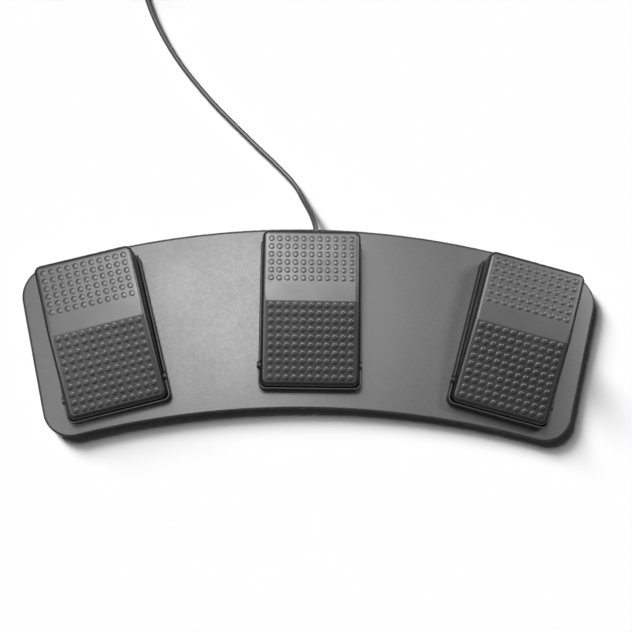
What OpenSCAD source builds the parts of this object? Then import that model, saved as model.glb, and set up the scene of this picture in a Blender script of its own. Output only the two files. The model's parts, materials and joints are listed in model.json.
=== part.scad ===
// Triple foot switch: three hinged treadles on one curved steel plate.
// Millimetres, +Z up. Each treadle is drawn in its own frame: x across, y towards the toe end,
// z = 0 on the plate's top face, y = 0 under the ridge between its two ribbed faces.

/* [Plate] */
// Radius of the rear edge
plate_rear_r = 540; // [450:5:650]
// Radius of the front edge
plate_front_r = 570; // [450:5:700]
// Rear edge of the plate behind the centre treadle's ridge
plate_rear_y = 53.1; // [50:0.1:65]
// Front edge of the plate ahead of the centre treadle's ridge
plate_front_y = 65.3; // [60:0.1:75]
// Half width of the plate measured level with the centre ridge
end_x = 184.5; // [175:0.1:200]
// Lean of the two ends
end_angle = 14; // [8:0.5:18]
// Radius of the two rear corners
rear_corner_r = 20; // [12:0.5:26]
// Radius of the two front corners
front_corner_r = 18.5; // [12:0.5:22]
// Sheet thickness of the plate
plate_t = 3; // [2:0.1:4]
// Height of the rubber feet
foot_h = 3; // [2.8:0.1:5]
// Diameter of the rubber feet
foot_d = 12; // [8:0.5:14]

/* [Treadles] */
// Radius of the arc that the three ridges stand on
fan_r = 506; // [480:1:560]
// Angle between neighbouring treadles
fan_angle = 15; // [14:0.5:17]
// Width of a treadle cover
cover_w = 61.6; // [56:0.1:66]
// Front edge of the cover ahead of its ridge
cover_front = 52; // [50:0.1:54]
// Rear edge of the cover behind its ridge
cover_rear = 44.7; // [43:0.1:47]
// Height of the ridge over the plate
ridge_h = 24; // [23:0.1:27]
// Fall of the front face
front_slope = 13; // [10:0.1:14]
// Rise of the rear face
rear_slope = 2; // [0:0.1:3]
// Wall of the cover
cover_t = 2; // [1.8:0.1:2.4]
// Distance between grip domes
dome_pitch = 5; // [4.6:0.1:5.2]
// Diameter of a grip dome
dome_d = 3.6; // [3:0.1:4]
// Height of a grip dome
dome_h = 0.9; // [0.5:0.1:1.2]
// Travel of a treadle
press_angle = 4; // [3:0.1:4]

/* [Housings] */
// Wall of the base tray
base_t = 1.2; // [1.2:0.1:2]
// Floor of the base tray
floor_t = 2; // [1.6:0.1:2.2]
// Height of the tray's side walls
rim_h = 9; // [8:0.1:9.5]
// Play between cover and tray
side_play = 0.4; // [0.3:0.05:0.6]
// Distance of the hinge pin ahead of the ridge
pin_y = 38.5; // [37:0.1:40]
// Height of the hinge pin over the plate
pin_z = 7; // [6.5:0.1:7.5]
// Diameter of the hinge pin
pin_d = 2.5; // [2:0.1:3]

/* [Switches] */
// Length of a snap switch body
switch_l = 19.8; // [18:0.1:21]
// Thickness of a snap switch body
switch_w = 6.4; // [6:0.1:7]
// Height of a snap switch body
switch_h = 10.2; // [9:0.1:10.4]
// Angle of the lever at rest
lever_angle = 14.6; // [13:0.1:15]

/* [Cable] */
// Diameter of the cable
cable_d = 3.3; // [3:0.1:3.6]
// Diameter of the leads under the plate
lead_d = 2; // [1.6:0.1:2.2]
// Outer radius of the stored coil, to the cable's centre
coil_r = 25; // [24:0.5:32]
// Distance between neighbouring turns
coil_pitch = 3.8; // [3.8:0.1:4.4]

/* [Hidden] */
$fn = 48;
deck_z = foot_h + plate_t;
rear_cy = plate_rear_y - plate_rear_r;
front_cy = -plate_front_y - plate_front_r;

end_n = [cos(end_angle), -sin(end_angle)];
end_m = [sin(end_angle), cos(end_angle)];
end_k = end_x * cos(end_angle);

// Upper crossing of the line k n + t m with a circle about (0, cy)
function crossing(k, cy, r) =
    let (w = k * end_n - [0, cy])
    let (b = w * end_m)
    let (c = w * w - r * r)
    k * end_n + (sqrt(b * b - c) - b) * end_m;

rear_corner = crossing(end_k - rear_corner_r, rear_cy, plate_rear_r - rear_corner_r);
front_corner = crossing(end_k - front_corner_r, front_cy, plate_front_r + front_corner_r);

// The frame's origin is halfway between the plate's foremost and rearmost points
frame_y = -(plate_rear_y + front_corner[1] - front_corner_r) / 2;

// Cover, tray and their corners
cover_half = cover_w / 2;
tray_half_in = cover_half + side_play;
tray_half = tray_half_in + base_t;
tray_front_in = cover_front + side_play + 0.1;
tray_front = tray_front_in + base_t;
tray_rear = cover_rear - 0.9;
corner_r = 4.5;
cover_in_half = cover_half - cover_t;
front_h = ridge_h - cover_front * tan(front_slope);
rear_h = ridge_h + cover_rear * tan(rear_slope);
skirt_front_z = 3.4;
skirt_rear_z = 8.2;
edge_cut = 1.1;
ledge_d = 0.9;
back_wall_y = cover_rear - cover_t - 1.1;
gate_h = 16.2;

// Grip domes
dome_r = (dome_d * dome_d / 4 + dome_h * dome_h) / (2 * dome_h);
dome_cols = 11;
rear_rows = 6;
front_rows = 10;
rear_first = 13.9;
front_first = 3.2;

// Hinge
pin_play = 0.04;
lug_r = 3.5;
lug_l = 4;
head_r = 2.3;
head_h = 1;

// Housing screws, boss places and stop pads
boss_x = 23;
boss_front_y = -45.5;
boss_rear_y = 36;
boss_r = 3.3;
boss_front_h = 7;
boss_rear_h = 5;
screw_d = 2.9;
screw_head_d = 5.6;
screw_head_h = 1.7;
pad_h = 2;
pad_r = 3.2;
stop_reach = boss_rear_y + pin_y;
stop_r = 3;
stop_play = 0.06;
stop_rise = boss_rear_h + pad_h - pin_z + (stop_reach + stop_r) * sin(press_angle) + stop_play;
stop_z = pin_z + stop_rise / cos(press_angle);

// Return spring
spring_x = -6;
spring_y = 22;
spring_mean_r = 4;
spring_wire = 0.9;
spring_turns = 6.5;
spring_seat_z = 14;
spring_post_r = 2.8;

// Snap switch
switch_x = 15.2;
switch_y = -2;
switch_z = 6;
switch_top = switch_z + switch_h;
lever_y = switch_y + 1.2;
lever_z = switch_top + 0.45;
lever_t = 0.4;
lever_w = 3.6;
lever_l = 15.5;
plunger_y = lever_y + 5;
plunger_d = 1.8;
hole_y1 = switch_y + 5.15;
hole_y2 = switch_y + 14.65;
hole_z = switch_z + 2.9;
bracket_t = 2;
rib_y = 12;
rib_r = 1;
rib_gap = 0.25;

// Controller board
board_z = 5;
board_t = 1.6;
board_rear = -13;
board_front = -34;
board_half = 18;
socket_h = 4;
socket_z = board_z + board_t;
socket_mid = socket_z + socket_h / 2;
lead_hole_x = 13;
lead_hole_y = -8;
usb_x = 3;
exit_z = 5.8;
relief_r = 3.6;
neck_r = 2.7;

// Leads under the plate
lead_run_r = fan_r + lead_hole_y;
lead_z = -plate_t - 0.2 - lead_d / 2;
lead_hole_angle = asin(lead_hole_x / lead_run_r);
lead_drop = fan_r - sqrt(lead_run_r * lead_run_r - lead_hole_x * lead_hole_x);

// Free stretch of the cable, in the centre treadle's frame with z over the floor
free_points = [
    [3, -15, deck_z + 8.6],
    [3, -8, deck_z + 8.6],
    [3, 2, deck_z + 8],
    [3, 16, deck_z + 6.6],
    [3, 30, deck_z + 5.9],
    [3, 40, deck_z + 5.8],
    [3, 50, deck_z + 5.8],
    [1.4, 57.5, 10],
    [-1.2, 64.5, 7],
    [-5.5, 73.5, 4],
    [-11, 84, 2.2],
    [-20.5, 95, 1.7],
    [-43, 117, 1.7],
    [-78, 154, 1.7],
    [-102, 188, 1.7],
    [-117, 222, 1.7],
    [-124, 250, 1.7],
    [-126, 278, 1.7],
    [-126, 282, 1.7]
];
free_steps = 3;
cable_sides = 8;

// Coil: in along the floor, out and in and out again, one layer up in each half turn of reversal
coil_x = -126 - coil_r;
coil_y = 282;
coil_turns = 13.25;
coil_layers = 4;
coil_span = (coil_turns + 0.5) / coil_layers;
coil_sides = 6;
coil_rings = 24;
coil_lift = cable_d + 0.6;
coil_floor = 1.7;

// Plug on the cable's end
grip_h = 8;
grip_w = 16;
grip_l = 26;
plug_z = grip_h / 2;

// Places

module in_frame() {
    translate([0, frame_y, 0]) children();
}

// side: -1 left, 0 centre, 1 right
module at_treadle(side) {
    in_frame()
    translate([0, -fan_r, deck_z])
    rotate([0, 0, -side * fan_angle])
    translate([0, fan_r, 0])
    children();
}

module at_all_treadles() {
    for (side = [-1, 0, 1])
        at_treadle(side) children();
}

// Shared shapes

module rounded_plan(half, front, rear, r) {
    translate([-half + r, -front]) square([2 * (half - r), front + rear]);
    translate([-half, -front + r]) square([2 * half, front + rear - 2 * r]);
    for (x = [-half + r, half - r])
        for (y = [-front + r, rear - r])
            translate([x, y]) circle(r);
}

// Side outline (y, z) pulled across the treadle
module across(w) {
    rotate([90, 0, 90]) linear_extrude(w, center = true) children();
}

module bar_x(r, l) {
    rotate([0, 90, 0]) cylinder(r = r, h = l);
}

module bar_y(r, l) {
    rotate([-90, 0, 0]) cylinder(r = r, h = l);
}

// Rings swept along points, each ring's first spoke carried on from the ring before
function unit(v) = v / norm(v);
function heading(p, i) = unit(p[min(i + 1, len(p) - 1)] - p[max(i - 1, 0)]);
function carried(v, t) = unit(v - (v * t) * t);

function spokes(p, first) = [
    for (i = 0, v = carried(first, heading(p, 0));
         i < len(p);
         i = i + 1, v = i < len(p) ? carried(v, heading(p, i)) : v)
        v
];

function ring(centre, t, s, r, sides) =
    let (u = cross(s, t))
    [for (k = [0:sides - 1]) centre + r * (cos(360 * k / sides) * s + sin(360 * k / sides) * u)];

module tube(p, r, sides, first = [0, 0, 1]) {
    n = len(p);
    s = spokes(p, first);
    points = [for (i = [0:n - 1]) each ring(p[i], heading(p, i), s[i], r, sides)];
    sides_faces = [
        for (i = [0:n - 2])
            for (k = [0:sides - 1])
                let (a = i * sides + k)
                let (b = i * sides + (k + 1) % sides)
                each [[a, b, b + sides], [a, b + sides, a + sides]]
    ];
    front_cap = [for (k = [1:sides - 2]) [0, k + 1, k]];
    rear_cap = [for (k = [1:sides - 2]) [(n - 1) * sides, (n - 1) * sides + k, (n - 1) * sides + k + 1]];
    polyhedron(points, concat(sides_faces, front_cap, rear_cap));
}

// Smooth curve through hand-chosen points
function curve_point(p, i, t) =
    let (a = p[max(i - 1, 0)])
    let (b = p[i])
    let (c = p[i + 1])
    let (d = p[min(i + 2, len(p) - 1)])
    0.5 * (2 * b + (c - a) * t + (2 * a - 5 * b + 4 * c - d) * t * t
        + (3 * b - a - 3 * c + d) * t * t * t);

function curve(p, steps) = [
    for (i = [0:len(p) - 2])
        for (k = [0:steps - 1])
            curve_point(p, i, k / steps),
    p[len(p) - 1]
];

// Plate

module corner_waste(c, arc_out, r) {
    reach = 1.6 * r;
    polygon([c, c + r * arc_out, c + reach * (arc_out + end_n), c + r * end_n]);
}

// Right half, a little past the middle so that its mirror image joins it
module plate_half() {
    rear_out = unit(rear_corner - [0, rear_cy]);
    front_out = unit([0, front_cy] - front_corner);
    lean = tan(end_angle);
    difference() {
        intersection() {
            difference() {
                translate([0, rear_cy]) circle(plate_rear_r);
                translate([0, front_cy]) circle(plate_front_r);
            }
            polygon([
                [-5, -140],
                [end_x - 140 * lean, -140],
                [end_x + 90 * lean, 90],
                [-5, 90]
            ]);
        }
        corner_waste(rear_corner, rear_out, rear_corner_r);
        corner_waste(front_corner, front_out, front_corner_r);
    }
    translate(rear_corner) circle(rear_corner_r);
    translate(front_corner) circle(front_corner_r);
}

module plate_outline() {
    plate_half();
    mirror([1, 0]) plate_half();
}

module boss_places() {
    for (x = [-boss_x, boss_x])
        for (y = [boss_front_y, boss_rear_y])
            translate([x, y, 0]) children();
}

// Where the two leads pass down through a housing's floor and the plate
module lead_holes() {
    at_treadle(-1) translate([0, lead_hole_y, 0]) children();
    at_treadle(1) translate([0, lead_hole_y, 0]) children();
    at_treadle(0) translate([-lead_hole_x, -lead_drop, 0]) children();
    at_treadle(0) translate([lead_hole_x, -lead_drop, 0]) children();
}

module base_plate() {
    color([0.42, 0.42, 0.43])
    difference() {
        in_frame() translate([0, 0, foot_h]) linear_extrude(plate_t) plate_outline();
        at_all_treadles() boss_places() {
            translate([0, 0, -plate_t - 1]) cylinder(d = screw_d + 0.5, h = plate_t + 2);
            translate([0, 0, -plate_t])
                cylinder(d1 = screw_head_d + 0.3, d2 = screw_d + 0.3, h = screw_head_h);
        }
        lead_holes() translate([0, 0, -plate_t - 1]) cylinder(r = 3, h = plate_t + 2);
    }
}

module foot_places() {
    for (side = [-1, 1]) {
        for (a = [7.5, 18]) {
            in_frame() translate([0, -fan_r, 0]) rotate([0, 0, -side * a]) translate([0, fan_r + 41, 0])
                children();
            in_frame() translate([0, -fan_r, 0]) rotate([0, 0, -side * a]) translate([0, fan_r - 49, 0])
                children();
        }
    }
}

module rubber_feet() {
    color([0.08, 0.08, 0.08])
    foot_places() cylinder(d = foot_d, h = foot_h);
}

module housing_screws() {
    color([0.7, 0.7, 0.72])
    at_all_treadles() {
        for (x = [-boss_x, boss_x]) {
            translate([x, boss_front_y, 0]) countersunk(boss_front_h - 1.5);
            translate([x, boss_rear_y, 0]) countersunk(boss_rear_h - 1);
        }
    }
}

module countersunk(top) {
    difference() {
        union() {
            translate([0, 0, -plate_t]) cylinder(d = screw_d, h = plate_t + top);
            translate([0, 0, -plate_t]) cylinder(d1 = screw_head_d, d2 = screw_d, h = screw_head_h);
        }
        for (a = [0, 90])
            rotate([0, 0, a])
                translate([-1.5, -0.35, -plate_t - 0.1]) cube([3, 0.7, 1]);
    }
}

// Housing tray

module tray_blank() {
    difference() {
        linear_extrude(rim_h) rounded_plan(tray_half, tray_front, tray_rear, corner_r);
        translate([0, 0, floor_t]) linear_extrude(rim_h)
            rounded_plan(tray_half_in, tray_front_in, tray_rear + 20, corner_r - base_t);
    }
    // Rear wall stands inside the cover, with a catch that holds the cover down
    translate([-28, back_wall_y - 1.4, 0]) cube([56, 1.4, 12]);
    for (x = [-24, 10])
        translate([x, back_wall_y - 0.2, skirt_rear_z + 1.4]) cube([14, ledge_d + 0.2, 1.4]);
    for (x = [-boss_x, boss_x]) {
        translate([x, boss_front_y, 0]) cylinder(r = boss_r, h = boss_front_h);
        translate([x, boss_rear_y, 0]) cylinder(r = boss_r + 0.3, h = boss_rear_h);
    }
    // Ears round the hinge pin
    for (x = [-tray_half, tray_half_in])
        translate([x, -pin_y, pin_z]) bar_x(lug_r, base_t);
    // Post inside the return spring
    translate([spring_x, spring_y, 0]) cylinder(r = spring_post_r, h = floor_t + 4);
    // Bracket that the snap switch is screwed to
    translate([switch_x + switch_w / 2, switch_y, 0])
        cube([bracket_t, switch_l, switch_z + 7]);
    for (y = [switch_y, switch_y + switch_l - 3])
        translate([switch_x + 1.4, y, 0])
            cube([switch_w / 2, 3, switch_z]);
}

module tray() {
    difference() {
        tray_blank();
        for (x = [-boss_x, boss_x])
            for (y = [boss_front_y, boss_rear_y])
                translate([x, y, -1])
                    cylinder(d = screw_d + 0.1, h = 1 + (y < 0 ? boss_front_h - 1.2 : boss_rear_h - 0.7));
        translate([-tray_half - 1, -pin_y, pin_z]) bar_x(pin_d / 2 + pin_play, 2 * tray_half + 2);
        for (y = [hole_y1, hole_y2])
            translate([switch_x, y, hole_z]) bar_x(0.95, 8);
    }
}

module side_tray() {
    color([0.16, 0.16, 0.17])
    difference() {
        tray();
        translate([0, lead_hole_y, -1]) cylinder(r = 4.4, h = floor_t + 2);
    }
}

module left_base() {
    at_treadle(-1) side_tray();
}

module right_base() {
    at_treadle(1) side_tray();
}

module centre_base() {
    color([0.16, 0.16, 0.17])
    at_treadle(0)
    difference() {
        union() {
            tray();
            for (x = [-board_half + 3.5, board_half - 3.5])
                translate([x, board_front + 3.5, 0]) cylinder(r = 2.6, h = board_z);
            translate([0, board_rear - 2.6, 0]) cylinder(r = 2.2, h = board_z);
            translate([usb_x - 5.5, back_wall_y - 1.4, 0]) cube([11, 1.4, 13]);
        }
        for (x = [-lead_hole_x, lead_hole_x])
            translate([x, -lead_drop, -1]) cylinder(r = 4.4, h = floor_t + 2);
        for (x = [-board_half + 3.5, board_half - 3.5])
            translate([x, board_front + 3.5, 0.8]) cylinder(r = 0.95, h = board_z);
        translate([usb_x, back_wall_y - 3, exit_z]) bar_y(neck_r + 0.05, 6);
    }
}

// Treadle cover

module cover_side(inset, drop) {
    front = cover_front - inset;
    rear = cover_rear - inset;
    z_front = ridge_h - front * tan(front_slope) - inset;
    z_rear = ridge_h + rear * tan(rear_slope) - inset;
    polygon([
        [-front, skirt_front_z - drop],
        [-front, z_front],
        [0, ridge_h - inset],
        [rear, z_rear],
        [rear, skirt_rear_z - drop]
    ]);
}

module edge_cutter(l) {
    rotate([45, 0, 0])
        translate([-l / 2, -edge_cut * 0.7071, -edge_cut * 0.7071])
            cube([l, edge_cut * 1.4142, edge_cut * 1.4142]);
}

module cover_edges() {
    for (s = [-1, 1]) {
        translate([s * cover_half, 0, ridge_h]) {
            rotate([front_slope, 0, 0]) rotate([0, 0, 90]) translate([-30, 0, 0]) edge_cutter(62);
            rotate([rear_slope, 0, 0]) rotate([0, 0, 90]) translate([24, 0, 0]) edge_cutter(50);
        }
    }
    translate([0, -cover_front, front_h]) edge_cutter(cover_w + 4);
    translate([0, cover_rear, rear_h]) edge_cutter(cover_w + 4);
}

module dome_field(rows, first) {
    for (row = [0:rows - 1])
        for (col = [0:dome_cols - 1])
            translate([(col - (dome_cols - 1) / 2) * dome_pitch, first + row * dome_pitch, dome_h - dome_r])
                sphere(dome_r);
}

module cover_shell() {
    difference() {
        union() {
            intersection() {
                across(cover_w + 2) cover_side(0, 0);
                linear_extrude(60) rounded_plan(cover_half, cover_front, cover_rear, corner_r);
            }
            translate([0, 0, ridge_h]) rotate([rear_slope, 0, 0]) dome_field(rear_rows, rear_first);
            translate([0, 0, ridge_h]) rotate([front_slope, 0, 0]) mirror([0, 1, 0])
                dome_field(front_rows, front_first);
        }
        cover_edges();
        intersection() {
            across(cover_w + 2) cover_side(cover_t, 20);
            translate([0, 0, -30]) linear_extrude(90)
                rounded_plan(cover_in_half, cover_front - cover_t, cover_rear - cover_t, corner_r - cover_t);
        }
    }
}

// Everything that hangs under the cover's roof, trimmed by the roof itself
module cover_ribs() {
    intersection() {
        across(cover_w - 1) cover_side(cover_t / 2, 10);
        union() {
            // Return spring seat and its spigot
            translate([spring_x, spring_y, spring_seat_z]) cylinder(r = 5.5, h = 20);
            translate([spring_x, spring_y, spring_seat_z - 2.6]) cylinder(r = spring_post_r, h = 20);
            // Columns over the stop pads
            for (x = [-boss_x, boss_x])
                translate([x, boss_rear_y, stop_z]) cylinder(r = stop_r, h = 20);
            // Finger over the switch lever
            translate([switch_x - 2, rib_y - rib_r, finger_z]) cube([4, 2 * rib_r, 12]);
            // Stiffening webs
            for (x = [-10, 10])
                translate([x - 0.8, -49.8, 0]) cube([1.6, 44, 60]);
        }
    }
}

lever_reach = rib_y - lever_y;
lever_top_rest = lever_z + lever_t / 2 / cos(lever_angle) + lever_reach * tan(lever_angle);
finger_z = lever_top_rest + rib_gap + rib_r / cos(lever_angle);

module web_clearance() {
    front = cover_front + 4;
    rotate([90, 0, 90]) linear_extrude(60, center = true)
        polygon([
            [-front, -20],
            [-front, ridge_h - front * tan(front_slope) - cover_t - 3],
            [0, ridge_h - cover_t - 3],
            [0, -20]
        ]);
}

module cover(gate = false) {
    color([0.2, 0.2, 0.21])
    difference() {
        union() {
            cover_shell();
            difference() {
                cover_ribs();
                intersection() {
                    web_clearance();
                    translate([-12, -60, -30]) cube([24, 57, 90]);
                }
            }
            // Rounded tip of the finger
            translate([switch_x - 2, rib_y, finger_z]) bar_x(rib_r, 4);
            // Hinge lugs
            for (x = [-cover_in_half - 0.5, cover_in_half - lug_l])
                translate([x, -pin_y, pin_z]) bar_x(lug_r, lug_l + 0.5);
            // Catch on the rear wall, under the tray's catch
            for (x = [-24, 10])
                translate([x, cover_rear - cover_t - ledge_d + 0.2, skirt_rear_z])
                    cube([14, ledge_d, 1.2]);
        }
        translate([-cover_half - 1, -pin_y, pin_z]) bar_x(pin_d / 2 + pin_play, cover_w + 2);
        // Gate in the rear wall where the cable leaves
        if (gate)
            translate([usb_x - 5.2, cover_rear - cover_t - 1, 0]) cube([10.4, cover_t + 2, gate_h]);
    }
}

module left_cover() {
    at_treadle(-1) cover();
}

module centre_cover() {
    at_treadle(0) cover(gate = true);
}

module right_cover() {
    at_treadle(1) cover();
}

module hinge_pin() {
    color([0.75, 0.75, 0.77]) {
        translate([-tray_half, -pin_y, pin_z]) bar_x(pin_d / 2, 2 * tray_half);
        translate([-tray_half - head_h, -pin_y, pin_z]) bar_x(head_r, head_h);
    }
}

module left_hinge_pin() {
    at_treadle(-1) hinge_pin();
}

module centre_hinge_pin() {
    at_treadle(0) hinge_pin();
}

module right_hinge_pin() {
    at_treadle(1) hinge_pin();
}

// Compression spring with a closed turn at each end
module return_spring() {
    rings = round(spring_turns * 8);
    low = floor_t + spring_wire / 2 + 0.05;
    high = spring_seat_z - spring_wire / 2 - 0.05;
    path = [
        for (i = [0:rings])
            let (turn = i / 8)
            let (lead_in = min(max((turn - 0.8) / (spring_turns - 1.6), 0), 1))
            let (rise = low + (high - low) * lead_in)
            [spring_mean_r * cos(360 * turn), spring_mean_r * sin(360 * turn), rise]
    ];
    color([0.72, 0.72, 0.74])
    translate([spring_x, spring_y, 0]) tube(path, spring_wire / 2, 6);
}

module left_spring() {
    at_treadle(-1) return_spring();
}

module centre_spring() {
    at_treadle(0) return_spring();
}

module right_spring() {
    at_treadle(1) return_spring();
}

// Snap switch

module switch_body() {
    color([0.1, 0.1, 0.1])
    difference() {
        translate([switch_x - switch_w / 2, switch_y, switch_z]) cube([switch_w, switch_l, switch_h]);
        for (y = [hole_y1, hole_y2])
            translate([switch_x - switch_w, y, hole_z]) bar_x(1.05, 2 * switch_w);
        translate([switch_x, plunger_y, switch_top - 2.5]) cylinder(d = plunger_d + 0.2, h = 3);
        translate([switch_x - lever_w / 2 - 0.2, lever_y - 0.9, switch_top - 0.4])
            cube([lever_w + 0.4, 1.9, 1]);
    }
}

module switch_lever() {
    color([0.8, 0.8, 0.82])
    translate([switch_x, lever_y, lever_z]) {
        translate([-lever_w / 2, 0, 0]) bar_x(0.4, lever_w);
        rotate([lever_angle, 0, 0])
            translate([-lever_w / 2, 0, -lever_t / 2]) cube([lever_w, lever_l, lever_t]);
    }
}

plunger_top = lever_z + 5 * tan(lever_angle) - lever_t / 2 / cos(lever_angle) - 0.28;

module switch_plunger() {
    color([0.75, 0.15, 0.12])
    translate([switch_x, plunger_y, switch_top - 1]) {
        cylinder(d = plunger_d, h = plunger_top - switch_top + 1 - 0.3);
        translate([0, 0, plunger_top - switch_top + 1 - 0.3]) cylinder(d1 = plunger_d, d2 = 1, h = 0.3);
    }
}

module left_switch_body() {
    at_treadle(-1) switch_body();
}

module centre_switch_body() {
    at_treadle(0) switch_body();
}

module right_switch_body() {
    at_treadle(1) switch_body();
}

module left_switch_lever() {
    at_treadle(-1) switch_lever();
}

module centre_switch_lever() {
    at_treadle(0) switch_lever();
}

module right_switch_lever() {
    at_treadle(1) switch_lever();
}

module left_switch_plunger() {
    at_treadle(-1) switch_plunger();
}

module centre_switch_plunger() {
    at_treadle(0) switch_plunger();
}

module right_switch_plunger() {
    at_treadle(1) switch_plunger();
}

module switch_terminals() {
    color([0.8, 0.68, 0.4])
    at_all_treadles()
        for (y = [4.2, 9, 13.4])
            translate([switch_x - 1.6, switch_y + y, switch_z - 2.8]) cube([3.2, 0.5, 2.8]);
}

module switch_screws() {
    color([0.7, 0.7, 0.72])
    at_all_treadles()
        for (y = [hole_y1, hole_y2])
            translate([switch_x - switch_w / 2, y, hole_z]) {
                bar_x(0.9, switch_w + bracket_t);
                difference() {
                    translate([-1.3, 0, 0]) bar_x(1.8, 1.3);
                    translate([-1.4, -2, -0.25]) cube([0.6, 4, 0.5]);
                }
            }
}

module stop_pads() {
    color([0.06, 0.06, 0.06])
    at_all_treadles()
        for (x = [-boss_x, boss_x])
            translate([x, boss_rear_y, boss_rear_h]) cylinder(r = pad_r, h = pad_h);
}

// Controller

module circuit_board() {
    color([0.1, 0.3, 0.16])
    at_treadle(0)
    difference() {
        translate([-board_half, board_front, board_z])
            cube([2 * board_half, board_rear - board_front, board_t]);
        for (x = [-board_half + 3.5, board_half - 3.5])
            translate([x, board_front + 3.5, board_z - 1]) cylinder(r = 1.2, h = board_t + 2);
    }
}

module board_chip() {
    color([0.05, 0.05, 0.05])
    at_treadle(0)
        translate([-4.5, -27, board_z + board_t]) cube([9, 6, 1.5]);
}

module socket(x, w) {
    translate([x - w / 2, board_rear - 5.5, socket_z])
    difference() {
        cube([w, 5.5, socket_h]);
        translate([w / 2, 3.5, socket_h / 2]) bar_y(w / 2 - 0.8, 3);
    }
}

module board_sockets() {
    color([0.9, 0.88, 0.8])
    at_treadle(0) {
        for (x = [-lead_hole_x, -6, lead_hole_x])
            socket(x, 4);
        socket(usb_x, 5.4);
    }
}

module board_screws() {
    color([0.7, 0.7, 0.72])
    at_treadle(0)
        for (x = [-board_half + 3.5, board_half - 3.5])
            translate([x, board_front + 3.5, 0]) {
                translate([0, 0, 1.4]) cylinder(r = 0.9, h = board_z + board_t - 1.4);
                translate([0, 0, board_z + board_t]) cylinder(r = 1.9, h = 1.3);
            }
}

// Leads: a point in a treadle's frame carried into the centre treadle's, z over the floor
function from_treadle(side, p) =
    let (a = -side * fan_angle)
    let (y = p[1] + fan_r)
    [cos(a) * p[0] - sin(a) * y, sin(a) * p[0] + cos(a) * y - fan_r, p[2] + deck_z];

// Each inner corner becomes a short round bend
function bent(p, r) = [
    p[0],
    for (i = [1:len(p) - 2])
        let (a = p[i] - r * unit(p[i] - p[i - 1]))
        let (b = p[i] + r * unit(p[i + 1] - p[i]))
        each [a, 0.4 * a + 0.2 * b + 0.4 * p[i], 0.2 * a + 0.4 * b + 0.4 * p[i], b],
    p[len(p) - 1]
];

terminal_y = switch_y + 4.2;
wire_z = switch_z - 1.7;
lead_sides = 8;
bend_r = 1.8;

module side_lead(side) {
    inside = [
        [switch_x, terminal_y, wire_z],
        [switch_x, lead_hole_y, wire_z],
        [0, lead_hole_y, wire_z],
        [0, lead_hole_y, lead_z]
    ];
    under = [
        for (i = [1:7])
            let (a = side * (fan_angle + (lead_hole_angle - fan_angle) * i / 8))
            [lead_run_r * sin(a), lead_run_r * cos(a) - fan_r, lead_z + deck_z]
    ];
    to_board = [
        [side * lead_hole_x, -lead_drop, lead_z],
        [side * lead_hole_x, -lead_drop, socket_mid],
        [side * lead_hole_x, board_rear - 2, socket_mid]
    ];
    corners = [
        for (p = inside) from_treadle(side, p),
        each under,
        for (p = to_board) from_treadle(0, p)
    ];
    color([0.12, 0.12, 0.12])
    in_frame() tube(bent(corners, bend_r), lead_d / 2, lead_sides);
}

module left_lead() {
    side_lead(-1);
}

module right_lead() {
    side_lead(1);
}

module centre_lead() {
    corners = [
        [switch_x, terminal_y, wire_z],
        [switch_x, -2.5, wire_z],
        [-6, -2.5, wire_z],
        [-6, -2.5, socket_mid],
        [-6, board_rear - 2, socket_mid]
    ];
    color([0.12, 0.12, 0.12])
    at_treadle(0) tube(bent(corners, bend_r), lead_d / 2, lead_sides);
}

module lead_clips() {
    color([0.85, 0.85, 0.83])
    for (side = [-1, 1])
        for (a = [4.8, 8.4, 11])
            in_frame() translate([0, -fan_r, deck_z]) rotate([0, 0, -side * a]) translate([0, lead_run_r, 0])
                difference() {
                    translate([-3, -4, -plate_t - 2.6]) cube([6, 8, 2.6]);
                    translate([-4, 0, lead_z]) bar_x(lead_d / 2 + 0.06, 8);
                    translate([-4, -0.7, -plate_t - 0.6]) cube([8, 1.4, 0.7]);
                }
}

module lead_grommets() {
    color([0.05, 0.05, 0.05])
    lead_holes()
    difference() {
        union() {
            translate([0, 0, -plate_t]) cylinder(r = 2.9, h = plate_t);
            cylinder(r = 4.1, h = 1.2);
        }
        translate([0, 0, -plate_t - 1]) cylinder(d = lead_d + 0.3, h = plate_t + 4);
        translate([0, 0, -plate_t - 1]) cylinder(r = 2.2, h = 1.8);
        translate([-6, -lead_d / 2 - 0.15, -plate_t - 1]) cube([12, lead_d + 0.3, 1.8]);
    }
}

// Rubber sleeve round the cable where it leaves the centre housing
module strain_relief() {
    color([0.08, 0.08, 0.08])
    at_treadle(0)
    translate([usb_x, back_wall_y, exit_z])
    rotate([-90, 0, 0])
    difference() {
        union() {
            translate([0, 0, -2.8]) cylinder(r = relief_r, h = 1.3);
            translate([0, 0, -1.6]) cylinder(r = neck_r, h = 2);
            translate([0, 0, 0.1]) cylinder(r = relief_r, h = 1.2);
            for (i = [0:2])
                translate([0, 0, 1.3 + i * 2.1]) cylinder(r1 = 3.2 - i * 0.2, r2 = 3 - i * 0.2, h = 1.5);
            translate([0, 0, 1]) cylinder(r = 2.4, h = 6.6);
        }
        translate([0, 0, -4]) cylinder(d = cable_d + 0.2, h = 14);
    }
}

// Cable

module usb_cable() {
    color([0.12, 0.12, 0.13])
    in_frame()
        tube(curve(free_points, free_steps), cable_d / 2, cable_sides);
}

// Share of its layer that the spiral has run through at turn u, from the outermost point
function coil_layer(u) = (u + 0.25) / coil_span;

function coil_place(u) =
    let (v = coil_layer(u))
    let (f = v - floor(v))
    let (depth = floor(v) % 2 == 0 ? f : 1 - f)
    let (r = coil_r - coil_pitch * (coil_span * depth - 0.25))
    let (climbs = [for (k = [1:coil_layers - 1]) min(max(2 * coil_span * (v - k) + 0.5, 0), 1)])
    [coil_x + r * cos(360 * u), coil_y + r * sin(360 * u), coil_floor + coil_lift * sum(climbs)];

function sum(v) = v * [for (i = v) 1];

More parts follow.
